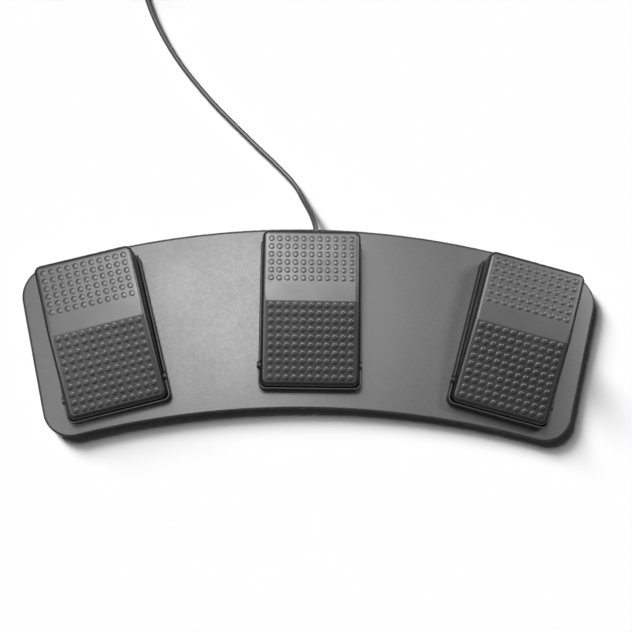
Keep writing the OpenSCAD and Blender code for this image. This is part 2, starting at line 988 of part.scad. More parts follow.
coil_path = [for (i = [0:coil_turns * coil_rings]) coil_place(i / coil_rings)];
coil_end = coil_path[len(coil_path) - 1];
// The tail slides off the top layer, comes round and runs straight into the plug beside the coil
tail_drop = coil_end[2] - plug_z;
tail = [
    for (p = [
        [-6, 0.6, 0], [-12, 1.4, 0.05], [-18.5, 1.6, 0.17], [-25, 0.4, 0.36], [-31, -2.6, 0.57],
        [-36, -7, 0.77], [-39.6, -12.5, 0.91], [-41.4, -18.5, 0.99], [-42, -24, 1], [-42, -28, 1]
    ])
        [coil_end[0] + p[0], coil_end[1] + p[1], coil_end[2] - p[2] * tail_drop]
];
coil_all = concat(coil_path, tail);
coil_gap = min([
    for (i = [0:len(coil_all) - 1])
        for (j = [i + 6:1:len(coil_all) - 1])
            norm(coil_all[i] - coil_all[j])
]) - cable_d;
echo(coil_gap = coil_gap);

module cable_coil() {
    color([0.12, 0.12, 0.13])
    in_frame()
        tube(coil_all, cable_d / 2, coil_sides);
}

// Plug on the cable's end, its axis along -y
plug_at = tail[len(tail) - 1];

module plug_frame() {
    in_frame() translate([plug_at[0], plug_at[1], 0]) children();
}

module plug_grip() {
    color([0.12, 0.12, 0.13])
    plug_frame() {
        difference() {
            translate([-grip_w / 2, -6 - grip_l, 0]) cube([grip_w, grip_l, grip_h]);
            for (s = [-1, 1])
                for (i = [0:3])
                    translate([s * grip_w / 2, -12 - i * 3, grip_h / 2]) cube([1, 1.2, 6], center = true);
        }
        difference() {
            translate([0, -6.5, plug_z]) bar_y(2.8, 6.5);
            translate([0, -3, plug_z]) bar_y(cable_d / 2 + 0.1, 6);
        }
    }
}

module plug_shell() {
    color([0.8, 0.8, 0.82])
    plug_frame()
    difference() {
        translate([-6, -6 - grip_l - 12, plug_z - 2.25]) cube([12, 12, 4.5]);
        translate([-5.6, -6 - grip_l - 13, plug_z - 0.1]) cube([11.2, 11, 1.95]);
        for (x = [-3.6, 1.6])
            translate([x, -6 - grip_l - 8, plug_z + 1]) cube([2, 2.2, 3]);
    }
}

base_plate();
rubber_feet();
housing_screws();
left_base();
centre_base();
right_base();
left_cover();
centre_cover();
right_cover();
left_hinge_pin();
centre_hinge_pin();
right_hinge_pin();
left_spring();
centre_spring();
right_spring();
left_switch_body();
centre_switch_body();
right_switch_body();
left_switch_lever();
centre_switch_lever();
right_switch_lever();
left_switch_plunger();
centre_switch_plunger();
right_switch_plunger();
switch_terminals();
switch_screws();
stop_pads();
circuit_board();
board_chip();
board_sockets();
board_screws();
left_lead();
centre_lead();
right_lead();
lead_clips();
lead_grommets();
strain_relief();
usb_cable();
cable_coil();
plug_grip();
plug_shell();
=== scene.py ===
import json
import math

import bmesh
import bpy
from mathutils import Matrix, Vector


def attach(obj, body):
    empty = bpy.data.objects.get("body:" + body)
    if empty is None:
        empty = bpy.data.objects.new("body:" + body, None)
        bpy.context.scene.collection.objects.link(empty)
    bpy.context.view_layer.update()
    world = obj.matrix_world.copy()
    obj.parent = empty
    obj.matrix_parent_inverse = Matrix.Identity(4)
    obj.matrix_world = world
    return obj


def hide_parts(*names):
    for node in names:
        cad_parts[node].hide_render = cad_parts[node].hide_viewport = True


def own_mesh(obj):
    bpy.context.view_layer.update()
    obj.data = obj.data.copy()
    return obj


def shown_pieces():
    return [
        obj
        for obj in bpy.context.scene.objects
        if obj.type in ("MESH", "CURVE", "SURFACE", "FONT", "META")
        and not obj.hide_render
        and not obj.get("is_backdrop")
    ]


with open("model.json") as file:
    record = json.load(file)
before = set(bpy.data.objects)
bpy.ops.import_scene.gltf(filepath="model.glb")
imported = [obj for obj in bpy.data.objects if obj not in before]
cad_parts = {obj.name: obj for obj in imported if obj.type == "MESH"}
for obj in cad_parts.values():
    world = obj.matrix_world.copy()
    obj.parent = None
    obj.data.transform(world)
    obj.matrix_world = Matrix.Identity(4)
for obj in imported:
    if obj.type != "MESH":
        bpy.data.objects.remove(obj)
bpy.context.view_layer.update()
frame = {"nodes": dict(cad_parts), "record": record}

# Sizes repeated from the part, in millimetres, with y from the centre treadle's ridge
MM = 0.001
FRAME_Y = 15.685442
DECK_Z = 6.0
FAN_R = 506.0
FAN_ANGLE = math.radians(15)
COVER_HALF = 30.8
COVER_FRONT = 52.0
COVER_REAR = 44.7
COVER_T = 2.0
CORNER_R = 4.5
RIDGE_H = 24.0
FRONT_SLOPE = math.radians(13)
REAR_SLOPE = math.radians(2)
SKIRT_FRONT_Z = 3.4
SKIRT_REAR_Z = 8.2
PLATE_T = 3.0
PLATE_REAR_R = 540.0
PLATE_REAR_Y = 53.1
PLATE_FRONT_R = 570.0
PLATE_FRONT_Y = 65.3
FRONT_CORNER_R = 18.5
PLATE_END_X = 184.5
PLATE_END_LEAN = math.radians(14)
RIM_H = 9.0
PIN_Y = 38.5
PIN_Z = 7.0
SWITCH_X = 15.2
SPRING_X = -6.0
SPRING_Y = 22.0
USB_X = 3.0
GATE_HALF = 5.2
GATE_H = 16.2
SIDES = {"left": -1, "centre": 0, "right": 1}


def treadle_place(side):
    """From a treadle's own frame in millimetres to the part's frame in metres."""
    return (
        Matrix.Scale(MM, 4)
        @ Matrix.Translation((0, FRAME_Y - FAN_R, DECK_Z))
        @ Matrix.Rotation(-side * FAN_ANGLE, 4, "Z")
        @ Matrix.Translation((0, FAN_R, 0))
    )


def placed(name, data):
    """A new object in the scene, at the origin."""
    made = bpy.data.objects.new(name, data)
    bpy.context.scene.collection.objects.link(made)
    return made


# Camera, fitted to the photograph
camera_data = bpy.data.cameras.new("camera")
camera = placed("camera", camera_data)
camera.location = (-0.009554, -0.100841, 0.570254)
camera.rotation_euler = (0.1944, -0.0253, 0.0095)
camera_data.lens = 50.87
camera_data.sensor_width = 36.0
camera_data.clip_start = 0.01
camera_data.clip_end = 50.0
bpy.context.scene.camera = camera


# Cable: its free stretch, the stored coil and the tail into the plug, all one line
CABLE_D = 3.3
FREE_POINTS = [
    (3, 16, 12.6), (3, 30, 11.9), (3, 40, 11.8), (3, 50, 11.8), (1.4, 57.5, 10), (-1.2, 64.5, 7),
    (-5.5, 73.5, 4), (-11, 84, 2.2), (-20.5, 95, 1.7), (-43, 117, 1.7), (-78, 154, 1.7),
    (-102, 188, 1.7), (-117, 222, 1.7), (-124, 250, 1.7), (-126, 278, 1.7),
]
INNER_POINTS = [(3, -15, 14.6), (3, -8, 14.6), (3, 2, 14), (3, 16, 12.6)]
COIL_R = 25.0
COIL_PITCH = 3.8
COIL_TURNS = 13.25
COIL_LAYERS = 4
COIL_SPAN = (COIL_TURNS + 0.5) / COIL_LAYERS
COIL_LIFT = CABLE_D + 0.6
COIL_AT = (-126 - COIL_R, 282.0, 1.7)
COIL_STEPS = 16
PLUG_Z = 4.0
# Steps from the coil's end to the plug: x, y and the share of the way down
TAIL_STEPS = [
    (-6, 0.6, 0), (-12, 1.4, 0.05), (-18.5, 1.6, 0.17), (-25, 0.4, 0.36), (-31, -2.6, 0.57),
    (-36, -7, 0.77), (-39.6, -12.5, 0.91), (-41.4, -18.5, 0.99), (-42, -24, 1), (-42, -28, 1),
]
IN_FRAME = Matrix.Scale(MM, 4) @ Matrix.Translation((0, FRAME_Y, 0))


def coil_point(turn):
    """Spirals in and out at a steady rate and climbs a layer in the half turn where it reverses."""
    layer = (turn + 0.25) / COIL_SPAN
    share = layer - math.floor(layer)
    depth = share if math.floor(layer) % 2 == 0 else 1 - share
    radius = COIL_R - COIL_PITCH * (COIL_SPAN * depth - 0.25)
    climbs = sum(
        min(max(2 * COIL_SPAN * (layer - k) + 0.5, 0), 1) for k in range(1, COIL_LAYERS)
    )
    angle = 2 * math.pi * turn
    return (
        COIL_AT[0] + radius * math.cos(angle),
        COIL_AT[1] + radius * math.sin(angle),
        COIL_AT[2] + COIL_LIFT * climbs,
    )


def cable_line():
    coil = [coil_point(i / COIL_STEPS) for i in range(int(COIL_TURNS * COIL_STEPS) + 1)]
    end = coil[-1]
    drop = end[2] - PLUG_Z
    tail = [(end[0] + x, end[1] + y, end[2] - share * drop) for x, y, share in TAIL_STEPS]
    return FREE_POINTS + coil + tail


def mesh_of(holder):
    graph = bpy.context.evaluated_depsgraph_get()
    graph.update()
    return bpy.data.meshes.new_from_object(holder.evaluated_get(graph))


def swept(name, points, diameter, steps=5, place=IN_FRAME):
    """A smooth round tube along the points, and the points of its own middle line, in metres.
    With no steps the points are joined as they are."""
    curve = bpy.data.curves.new(name, "CURVE")
    curve.dimensions = "3D"
    curve.resolution_u = steps
    curve.use_fill_caps = True
    if steps:
        spline = curve.splines.new("BEZIER")
        spline.bezier_points.add(len(points) - 1)
        for spot, point in zip(spline.bezier_points, points):
            spot.co = place @ Vector(point)
            spot.handle_left_type = "AUTO"
            spot.handle_right_type = "AUTO"
    else:
        spline = curve.splines.new("POLY")
        spline.points.add(len(points) - 1)
        for spot, point in zip(spline.points, points):
            spot.co = (*(place @ Vector(point)), 1)
    holder = placed(name, curve)
    middle = [tuple(v.co) for v in mesh_of(holder).vertices]
    curve.bevel_depth = diameter / 2 * MM
    curve.bevel_resolution = 4
    made = placed(name, mesh_of(holder))
    bpy.data.objects.remove(holder)
    made.name = name
    return made, middle


cable, cable_middle = swept("cable", cable_line(), CABLE_D)
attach(cable, "stand")
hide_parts("usb_cable", "cable_coil")
cable_inside, _ = swept("cable_inside_housing", INNER_POINTS, CABLE_D)
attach(cable_inside, "stand")


# Materials
def material(name):
    made = bpy.data.materials.new(name)
    made.use_nodes = True
    tree = made.node_tree
    return made, tree, tree.nodes["Principled BSDF"]


def noise(tree, scale, detail):
    """Noise on Object coordinates, scale in cycles a metre."""
    spot = tree.nodes.new("ShaderNodeTexCoord")
    grain = tree.nodes.new("ShaderNodeTexNoise")
    grain.inputs["Scale"].default_value = scale
    grain.inputs["Detail"].default_value = detail
    grain.inputs["Roughness"].default_value = 0.55
    tree.links.new(spot.outputs["Object"], grain.inputs["Vector"])
    return grain.outputs["Fac"]


def spread(tree, value, low, high):
    """The noise's middle range stretched from low to high."""
    node = tree.nodes.new("ShaderNodeMapRange")
    node.inputs["From Min"].default_value = 0.3
    node.inputs["From Max"].default_value = 0.7
    node.inputs["To Min"].default_value = low
    node.inputs["To Max"].default_value = high
    tree.links.new(value, node.inputs["Value"])
    return node.outputs["Result"]


# Colour sockets of a Mix node, which share their names with its number sockets
MIX_FIRST = 6
MIX_SECOND = 7
MIX_RESULT = 2


def shades(tree, value, dark, light):
    node = tree.nodes.new("ShaderNodeMix")
    node.data_type = "RGBA"
    node.inputs[MIX_FIRST].default_value = (*dark, 1)
    node.inputs[MIX_SECOND].default_value = (*light, 1)
    tree.links.new(value, node.inputs["Factor"])
    return node.outputs[MIX_RESULT]


def bump(tree, shader, height, distance, strength):
    node = tree.nodes.new("ShaderNodeBump")
    node.inputs["Strength"].default_value = strength
    node.inputs["Distance"].default_value = distance
    tree.links.new(height, node.inputs["Height"])
    tree.links.new(node.outputs["Normal"], shader.inputs["Normal"])


def grey(level):
    return (level,) * 3


FLECK_SCALE = 450
RELIEF_STRENGTH = 0.6


def finish(
    name, dark, light, rough, grain, grain_depth, metal=0.0, specular=0.5, mottle=25.0, speckle=0.0
):
    """A surface with a slow change of shade, a fine grain in the relief and an uneven gloss.
    mottle and grain are cycles a metre, grain_depth is in metres, and speckle is the share of
    a fine change of shade in the slow one."""
    made, tree, shader = material(name)
    slow = noise(tree, mottle, 5.0)
    if speckle:
        fleck = noise(tree, FLECK_SCALE, 3.0)
        blend = tree.nodes.new("ShaderNodeMix")
        blend.inputs["Factor"].default_value = speckle
        tree.links.new(slow, blend.inputs["A"])
        tree.links.new(fleck, blend.inputs["B"])
        slow = blend.outputs["Result"]
    fine = noise(tree, grain, 3.0)
    tree.links.new(shades(tree, spread(tree, slow, 0, 1), dark, light), shader.inputs["Base Color"])
    tree.links.new(spread(tree, slow, *rough), shader.inputs["Roughness"])
    shader.inputs["Metallic"].default_value = metal
    shader.inputs["Specular IOR Level"].default_value = specular
    bump(tree, shader, fine, grain_depth, RELIEF_STRENGTH)
    return made


LOOKS = {
    "plate": finish(
        "satin_plate_paint", grey(0.038), grey(0.052), (0.35, 0.41), 900, 0.00003,
        specular=0.25, mottle=30, speckle=0.55,
    ),
    "cover": finish(
        "moulded_cover", grey(0.013), grey(0.018), (0.35, 0.41), 2200, 0.00004,
        specular=0.25, mottle=60,
    ),
    "housing": finish(
        "moulded_tray", grey(0.012), grey(0.017), (0.46, 0.54), 2200, 0.00003,
        specular=0.2, mottle=60,
    ),
    "rubber": finish("black_rubber", grey(0.018), grey(0.028), (0.6, 0.75), 1500, 0.00005),
    "steel": finish("zinc_steel", grey(0.50), grey(0.62), (0.25, 0.38), 700, 0.00002, metal=1.0),
    "pin": finish("blacked_steel", grey(0.030), grey(0.045), (0.32, 0.42), 900, 0.00002, metal=0.6),
    "switch": finish("switch_case", grey(0.016), grey(0.024), (0.42, 0.5), 1800, 0.00003),
    "plunger": finish(
        "switch_button", (0.36, 0.04, 0.03), (0.46, 0.06, 0.045), (0.35, 0.45), 1500, 0.00002,
    ),
    "brass": finish(
        "tinned_brass", (0.62, 0.48, 0.22), (0.76, 0.62, 0.34), (0.28, 0.4), 900, 0.00002,
        metal=1.0,
    ),
    "board": finish(
        "solder_mask", (0.02, 0.11, 0.05), (0.03, 0.16, 0.07), (0.3, 0.4), 1200, 0.00003,
    ),
    "chip": finish("chip_case", grey(0.015), grey(0.022), (0.5, 0.6), 2500, 0.00003),
    "socket": finish(
        "socket_nylon", (0.60, 0.57, 0.48), (0.70, 0.67, 0.58), (0.45, 0.55), 1200, 0.00003,
    ),
    "cable": finish("cable_jacket", grey(0.028), grey(0.040), (0.42, 0.52), 1600, 0.00003),
    "clip": finish(
        "clip_nylon", (0.60, 0.60, 0.57), (0.70, 0.70, 0.67), (0.45, 0.55), 1200, 0.00003,
    ),
    "plug": finish("plug_grip_moulding", grey(0.024), grey(0.032), (0.42, 0.5), 1800, 0.00004),
    "shell": finish(
        "plug_shell_plating", grey(0.62), grey(0.72), (0.18, 0.28), 600, 0.00001, metal=1.0,
    ),
}


def dress(piece, look):
    piece.data.materials.clear()
    piece.data.materials.append(LOOKS[look])


# New pieces
def new_piece(name, bm, look, body, node):
    mesh = bpy.data.meshes.new(name)
    for face in bm.faces:
        face.smooth = True
    bm.to_mesh(mesh)
    bm.free()
    mesh.set_sharp_from_angle(angle=math.radians(35))
    made = placed(name, mesh)
    dress(made, look)
    even = made.modifiers.new("even_normals", "WEIGHTED_NORMAL")
    even.keep_sharp = True
    even.weight = 50
    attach(made, body)
    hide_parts(node)
    return made


def bevel_edges(bm, edges, offset, segments):
    bmesh.ops.bevel(
        bm, geom=edges, offset=offset, offset_type="OFFSET", affect="EDGES",
        segments=segments, profile=0.5, material=-1, clamp_overlap=False,
    )


def each_once(parts):
    """The parts without repeats and in their order, so that each run makes the same mesh."""
    return list(dict.fromkeys(parts))


def cut(bm, spot, normal, clear=True, faces=None):
    """Cuts along a plane; clear takes away what lies on the side that the normal points to."""
    part = list(bm.faces) if faces is None else faces
    edges = each_once(e for f in part for e in f.edges)
    verts = each_once(v for f in part for v in f.verts)
    bmesh.ops.bisect_plane(
        bm, geom=[*verts, *edges, *part], dist=1e-4, plane_co=spot, plane_no=normal,
        clear_outer=clear, clear_inner=False,
    )


def facing(bm, normal):
    return [f for f in bm.faces if f.normal.dot(normal) > 0.999]


def add(bm, other):
    mesh = bpy.data.meshes.new("part")
    other.to_mesh(mesh)
    other.free()
    bm.from_mesh(mesh)
    bpy.data.meshes.remove(mesh)


def rod(bm, radius, length, at, turn=Matrix.Identity(4)):
    """A closed cylinder from at along its axis, which is z until it is turned."""
    bmesh.ops.create_cone(
        bm, cap_ends=True, segments=24, radius1=radius, radius2=radius, depth=length,
        matrix=Matrix.Translation(at) @ turn @ Matrix.Translation((0, 0, length / 2)),
    )


def block(bm, low, high):
    low, high = Vector(low), Vector(high)
    size = high - low
    made = bmesh.ops.create_cube(
        bm, size=1, matrix=Matrix.Translation((low + high) / 2) @ Matrix.Diagonal((*size, 1)),
    )
    return made["verts"]


# Treadle covers, in their treadle's own frame: the ridge is at y 0 and the deck at z 0
FRONT_UP = Vector((0, -math.sin(FRONT_SLOPE), math.cos(FRONT_SLOPE)))
FRONT_ALONG = Vector((0, -math.cos(FRONT_SLOPE), -math.sin(FRONT_SLOPE)))
REAR_UP = Vector((0, -math.sin(REAR_SLOPE), math.cos(REAR_SLOPE)))
REAR_ALONG = Vector((0, math.cos(REAR_SLOPE), math.sin(REAR_SLOPE)))
RIDGE = Vector((0, 0, RIDGE_H))
ROOF_ROUNDING = 2.3
ROOF_STEPS = 5
CORNER_STEPS = 8
BLANK_LOW = -10
BLANK_HIGH = 50


def hood(inset, corner, rounding):
    """The cover's skin without domes: a tall box with round corners, cut off by two roof planes
    above and by the slant of its lower edge."""
    bm = bmesh.new()
    front, rear = COVER_FRONT - inset, COVER_REAR - inset
    half = COVER_HALF - inset
    block(bm, (-half, -front, BLANK_LOW), (half, rear, BLANK_HIGH))
    upright = [e for e in bm.edges if abs(e.verts[0].co.z - e.verts[1].co.z) > 1]
    bevel_edges(bm, upright, corner, CORNER_STEPS)
    for up in (FRONT_UP, REAR_UP):
        cut(bm, RIDGE - inset * up, up)
        bmesh.ops.holes_fill(bm, edges=[e for e in bm.edges if e.is_boundary], sides=0)
    bmesh.ops.recalc_face_normals(bm, faces=bm.faces)
    if rounding:
        roof = set(facing(bm, FRONT_UP) + facing(bm, REAR_UP))
        rim = [e for e in bm.edges if len([f for f in e.link_faces if f in roof]) == 1]
        bevel_edges(bm, rim, rounding, ROOF_STEPS)
    slant = Vector((0, SKIRT_REAR_Z - SKIRT_FRONT_Z, -(COVER_REAR + COVER_FRONT))).normalized()
    cut(bm, (0, -COVER_FRONT, SKIRT_FRONT_Z), slant)
    return bm


DOME_PITCH = 5.0
DOME_COLS = 11
# Distance of the first row from the ridge, and the number of rows
FRONT_DOMES = (3.2, 10)
REAR_DOMES = (13.9, 6)
# How far an end dome's cell reaches past its middle, and the inset of the domes' feet in theirs
DOME_CELL = 2.2
DOME_INSET = 0.9
DOME_CORNERS = 12
DOME_FOOT = 1.95
# A dome's steps inwards and upwards from its foot, and the rise of its middle
DOME_RINGS = [(0.15, 0.03), (0.22, 0.12), (0.20, 0.07), (0.35, 0.035)]
DOME_TIP = 0.015


def raise_domes(bm, up, along, first, rows):
    """Cuts the roof into cells and swells a round dome out of each."""
    edge = (DOME_COLS - 1) / 2 * DOME_PITCH
    last = first + (rows - 1) * DOME_PITCH

    def grid(low, high):
        """The lines between the domes of a row, and one just outside each end dome."""
        between = [low + (k + 0.5) * DOME_PITCH for k in range(round((high - low) / DOME_PITCH))]
        return [low - DOME_CELL, *between, high + DOME_CELL]

    def dome_middle(face):
        """The middle of the dome nearest to the face."""
        spot = face.calc_center_median()
        row = round(((spot - RIDGE).dot(along) - first) / DOME_PITCH)
        x = round(spot.x / DOME_PITCH) * DOME_PITCH
        return RIDGE + along * (first + row * DOME_PITCH) + Vector((x, 0, 0))

    for x in grid(-edge, edge):
        cut(bm, (x, 0, 0), (1, 0, 0), False, facing(bm, up))
    for far in grid(first, last):
        cut(bm, RIDGE + along * far, along, False, facing(bm, up))
    cells = []
    for face in facing(bm, up):
        spot = face.calc_center_median()
        far = (spot - RIDGE).dot(along)
        if first - DOME_CELL < far < last + DOME_CELL and abs(spot.x) < edge + DOME_CELL:
            cells.append(face)
    assert len(cells) == rows * DOME_COLS
    bmesh.ops.inset_individual(bm, faces=cells, thickness=DOME_INSET, depth=0)
    rims = each_once(e for f in cells for e in f.edges)
    bmesh.ops.subdivide_edges(bm, edges=rims, cuts=DOME_CORNERS // 4 - 1)
    across = Vector((1, 0, 0))
    step = 2 * math.pi / DOME_CORNERS
    for face in cells:
        middle = dome_middle(face)
        for vert in face.verts:
            arm = vert.co - middle
            turn = math.atan2(arm.dot(along), arm.dot(across))
            turn = (round(turn / step - 0.5) + 0.5) * step
            vert.co = middle + DOME_FOOT * (math.cos(turn) * across + math.sin(turn) * along)
    for thickness, depth in DOME_RINGS:
        bmesh.ops.inset_individual(
            bm, faces=cells, thickness=thickness, depth=depth, use_even_offset=True,
        )
    bmesh.ops.poke(bm, faces=cells, offset=DOME_TIP)


def notch_gate(bm):
    """Takes the cable's gate out of the rear wall, up from its lower edge."""
    def rear_wall():
        return [
            f for f in bm.faces
            if abs(f.normal.y) > 0.999 and f.calc_center_median().y > COVER_REAR - 2 * COVER_T
        ]

    for x in (USB_X - GATE_HALF, USB_X + GATE_HALF):
        cut(bm, (x, 0, 0), (1, 0, 0), False, rear_wall())
    cut(bm, (0, 0, GATE_H), (0, 0, 1), False, rear_wall())
    inside = [
        f for f in rear_wall()
        if abs(f.calc_center_median().x - USB_X) < GATE_HALF and f.calc_center_median().z < GATE_H
    ]
    bmesh.ops.delete(bm, geom=inside, context="FACES")


LUG_R = 3.5
LUG_L = 4.0
LUG_SINK = 0.3
ROOF_SINK = 0.8
SEAT_R = 5.5
SEAT_Z = 14.0
POST_R = 2.8
POST_L = 4.0
POST_Z = 11.4
STOP_X = 23.0
STOP_Y = 36.0
STOP_R = 3.0
STOP_Z = 12.4
FINGER_Y = 12.0
FINGER_Z = 21.0
FINGER_HALF_W = 2.0
FINGER_HALF_D = 1.0
CATCH_STARTS = (-24, 10)
CATCH_L = 14.0
CATCH_Y = 42.0
CATCH_D = 1.0
CATCH_H = 1.2
WEB_X = 10.0
WEB_HALF_T = 0.8
WEB_FRONT = -49.8
WEB_REAR = -5.8
WEB_H = 3.0


def roof_under(y):
    slope = FRONT_SLOPE if y < 0 else REAR_SLOPE
    return RIDGE_H + y * math.tan(slope) - COVER_T


def cover_insides(bm):
    """Hinge lugs, spring seat, stop columns, switch finger, catches and webs under the roof."""
    wall = COVER_HALF - COVER_T
    sideways = Matrix.Rotation(math.pi / 2, 4, "Y")
    for x in (-wall - LUG_SINK, wall - LUG_L):
        rod(bm, LUG_R, LUG_L + LUG_SINK, (x, -PIN_Y, PIN_Z), sideways)

    def column(radius, x, y, foot):
        rod(bm, radius, roof_under(y) + ROOF_SINK - foot, (x, y, foot))

    column(SEAT_R, SPRING_X, SPRING_Y, SEAT_Z)
    rod(bm, POST_R, POST_L, (SPRING_X, SPRING_Y, POST_Z))
    for x in (-STOP_X, STOP_X):
        column(STOP_R, x, STOP_Y, STOP_Z)
    block(
        bm,
        (SWITCH_X - FINGER_HALF_W, FINGER_Y - FINGER_HALF_D, FINGER_Z),
        (SWITCH_X + FINGER_HALF_W, FINGER_Y + FINGER_HALF_D, roof_under(FINGER_Y) + ROOF_SINK),
    )
    for x in CATCH_STARTS:
        block(
            bm, (x, CATCH_Y, SKIRT_REAR_Z),
            (x + CATCH_L, CATCH_Y + CATCH_D, SKIRT_REAR_Z + CATCH_H),
        )
    for x in (-WEB_X, WEB_X):
        web = block(bm, (x - WEB_HALF_T, WEB_FRONT, -WEB_H), (x + WEB_HALF_T, WEB_REAR, ROOF_SINK))
        for vert in web:
            vert.co.z += roof_under(vert.co.y)


def cover_mesh(gate):
    bm = hood(0, CORNER_R, ROOF_ROUNDING)
    inner = hood(COVER_T, CORNER_R - COVER_T, 0)
    for skin in (bm, inner):
        bmesh.ops.recalc_face_normals(skin, faces=skin.faces)
        if gate:
            notch_gate(skin)
    bmesh.ops.reverse_faces(inner, faces=inner.faces)
    raise_domes(bm, FRONT_UP, FRONT_ALONG, *FRONT_DOMES)
    raise_domes(bm, REAR_UP, REAR_ALONG, *REAR_DOMES)
    add(bm, inner)
    bmesh.ops.bridge_loops(bm, edges=[e for e in bm.edges if e.is_boundary])
    cover_insides(bm)
    return bm


for name, side in SIDES.items():
    bm = cover_mesh(gate=side == 0)
    bmesh.ops.transform(bm, matrix=treadle_place(side), verts=bm.verts)
    new_piece(f"{name}_treadle_cover", bm, "cover", f"{name}_treadle", f"{name}_cover")


# Softened copies of CAD nodes; the gaps are in metres
MERGE_GAP = 2e-6
LEVEL_GAP = 2e-5
FLAT_ANGLE = math.radians(0.6)
HARD_ANGLE = math.radians(40)


def softened(name, node, look, roundings):
    """The node's own shape with its hard edges rounded; each rounding is a width in
    millimetres, its number of steps, and a test that picks its edges."""
    bm = bmesh.new()
    bm.from_mesh(frame["nodes"][node].data)
    bmesh.ops.remove_doubles(bm, verts=bm.verts, dist=MERGE_GAP)
    bmesh.ops.dissolve_limit(
        bm, angle_limit=FLAT_ANGLE, use_dissolve_boundaries=False,
        verts=bm.verts, edges=bm.edges,
    )
    for width, steps, test in roundings:
        hard = [
            e for e in bm.edges
            if len(e.link_faces) == 2 and e.calc_face_angle() > HARD_ANGLE and test(e)
        ]
        bevel_edges(bm, hard, width * MM, steps)
    return new_piece(name, bm, look, "stand", node)


def plate_corner():
    """Middle of the plate's front right corner, between its straight end and its front arc."""
    out = Vector((math.cos(PLATE_END_LEAN), -math.sin(PLATE_END_LEAN)))
    along = Vector((math.sin(PLATE_END_LEAN), math.cos(PLATE_END_LEAN)))
    start = out * (PLATE_END_X * math.cos(PLATE_END_LEAN) - FRONT_CORNER_R)
    gap = start - Vector((0, -PLATE_FRONT_Y - PLATE_FRONT_R))
    reach = PLATE_FRONT_R + FRONT_CORNER_R
    step = math.sqrt(gap.dot(along) ** 2 - gap.dot(gap) + reach**2) - gap.dot(along)
    return start + step * along


CORNER_X, CORNER_Y = plate_corner()
ENDS_FROM_X = 165
CORNERS_FROM_X = 120
OUTLINE_FIT = 0.3


def anywhere(edge):
    return True


def level(edge, height):
    return all(abs(v.co.z - height * MM) < LEVEL_GAP for v in edge.verts)


def on_outline(edge):
    """Part of the plate's own outline, and of none of its holes."""
    fits = []
    for vert in edge.verts:
        x, y = abs(vert.co.x) / MM, vert.co.y / MM - FRAME_Y
        to_rear = abs(math.hypot(x, y - (PLATE_REAR_Y - PLATE_REAR_R)) - PLATE_REAR_R)
        to_front = abs(math.hypot(x, y + PLATE_FRONT_Y + PLATE_FRONT_R) - PLATE_FRONT_R)
        to_corner = abs(math.hypot(x - CORNER_X, y - CORNER_Y) - FRONT_CORNER_R)
        in_corner = x > CORNERS_FROM_X and to_corner < OUTLINE_FIT
        fits.append(min(to_rear, to_front) < OUTLINE_FIT or x > ENDS_FROM_X or in_corner)
    return all(fits)


softened(
    "curved_plate", "base_plate", "plate",
    [
        (1.9, 6, lambda e: level(e, DECK_Z) and on_outline(e)),
        (0.7, 3, lambda e: level(e, DECK_Z - PLATE_T) and on_outline(e)),
    ],
)
for name in SIDES:
    softened(
        f"{name}_tray", f"{name}_base", "housing", [(0.5, 3, lambda e: level(e, DECK_Z + RIM_H))],
    )
    softened(f"{name}_pin", f"{name}_hinge_pin", "pin", [(0.45, 3, anywhere)])
softened("round_feet", "rubber_feet", "rubber", [(0.6, 3, anywhere)])


# Return springs
SPRING_AT = Vector((SPRING_X, SPRING_Y, 0))
SPRING_R = 4.0
SPRING_WIRE = 0.9
SPRING_TURNS = 6.5
SPRING_CLOSED = 0.8
SPRING_LOW = 2.5
SPRING_HIGH = 13.5
SPRING_STEPS = 12


def spring_point(turn):
    """A closed turn at each end and an even rise between them."""
    rise = min(max((turn - SPRING_CLOSED) / (SPRING_TURNS - 2 * SPRING_CLOSED), 0), 1)
    angle = 2 * math.pi * turn
    around = Vector((SPRING_R * math.cos(angle), SPRING_R * math.sin(angle), 0))
    return SPRING_AT + around + Vector((0, 0, SPRING_LOW + (SPRING_HIGH - SPRING_LOW) * rise))


for name, side in SIDES.items():
    place = treadle_place(side)
    count = round(SPRING_TURNS * SPRING_STEPS)
    wire = [spring_point(i / SPRING_STEPS) for i in range(count + 1)]
    coil, _ = swept(f"{name}_return_spring", wire, SPRING_WIRE, 2, place)
    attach(coil, "stand")
    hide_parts(f"{name}_spring")
    dress(coil, "steel")
    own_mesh(coil)


# Leads from the snap switches to the board, two of them by way of the plate's underside
LEAD_D = 2.0
LEAD_BEND = 1.8
BEND_STEPS = 5
LEAD_RUN_R = FAN_R - 8.0
LEAD_HOLE_X = 13.0
LEAD_HOLE_ANGLE = math.asin(LEAD_HOLE_X / LEAD_RUN_R)
LEAD_DROP = FAN_R - math.sqrt(LEAD_RUN_R**2 - LEAD_HOLE_X**2)
LEAD_SPANS = 8
LEAD_Z = -4.2
WIRE_Z = 4.3
SIDE_RUN_Y = -8.0
CENTRE_RUN_Y = -2.5
CENTRE_SOCKET_X = -6.0
SOCKET_Y = -15.0
SOCKET_Z = 8.6
TERMINAL = (SWITCH_X, 2.2, WIRE_Z)


def bends(corners, radius):
    """The corners joined by straight runs and short round bends."""
    line = [corners[0]]
    for before, corner, after in zip(corners, corners[1:], corners[2:]):
        start = corner + (before - corner).normalized() * radius
        end = corner + (after - corner).normalized() * radius
        for i in range(BEND_STEPS + 1):
            t = i / BEND_STEPS
            line.append((1 - t) ** 2 * start + 2 * t * (1 - t) * corner + t**2 * end)
    return [*line, corners[-1]]


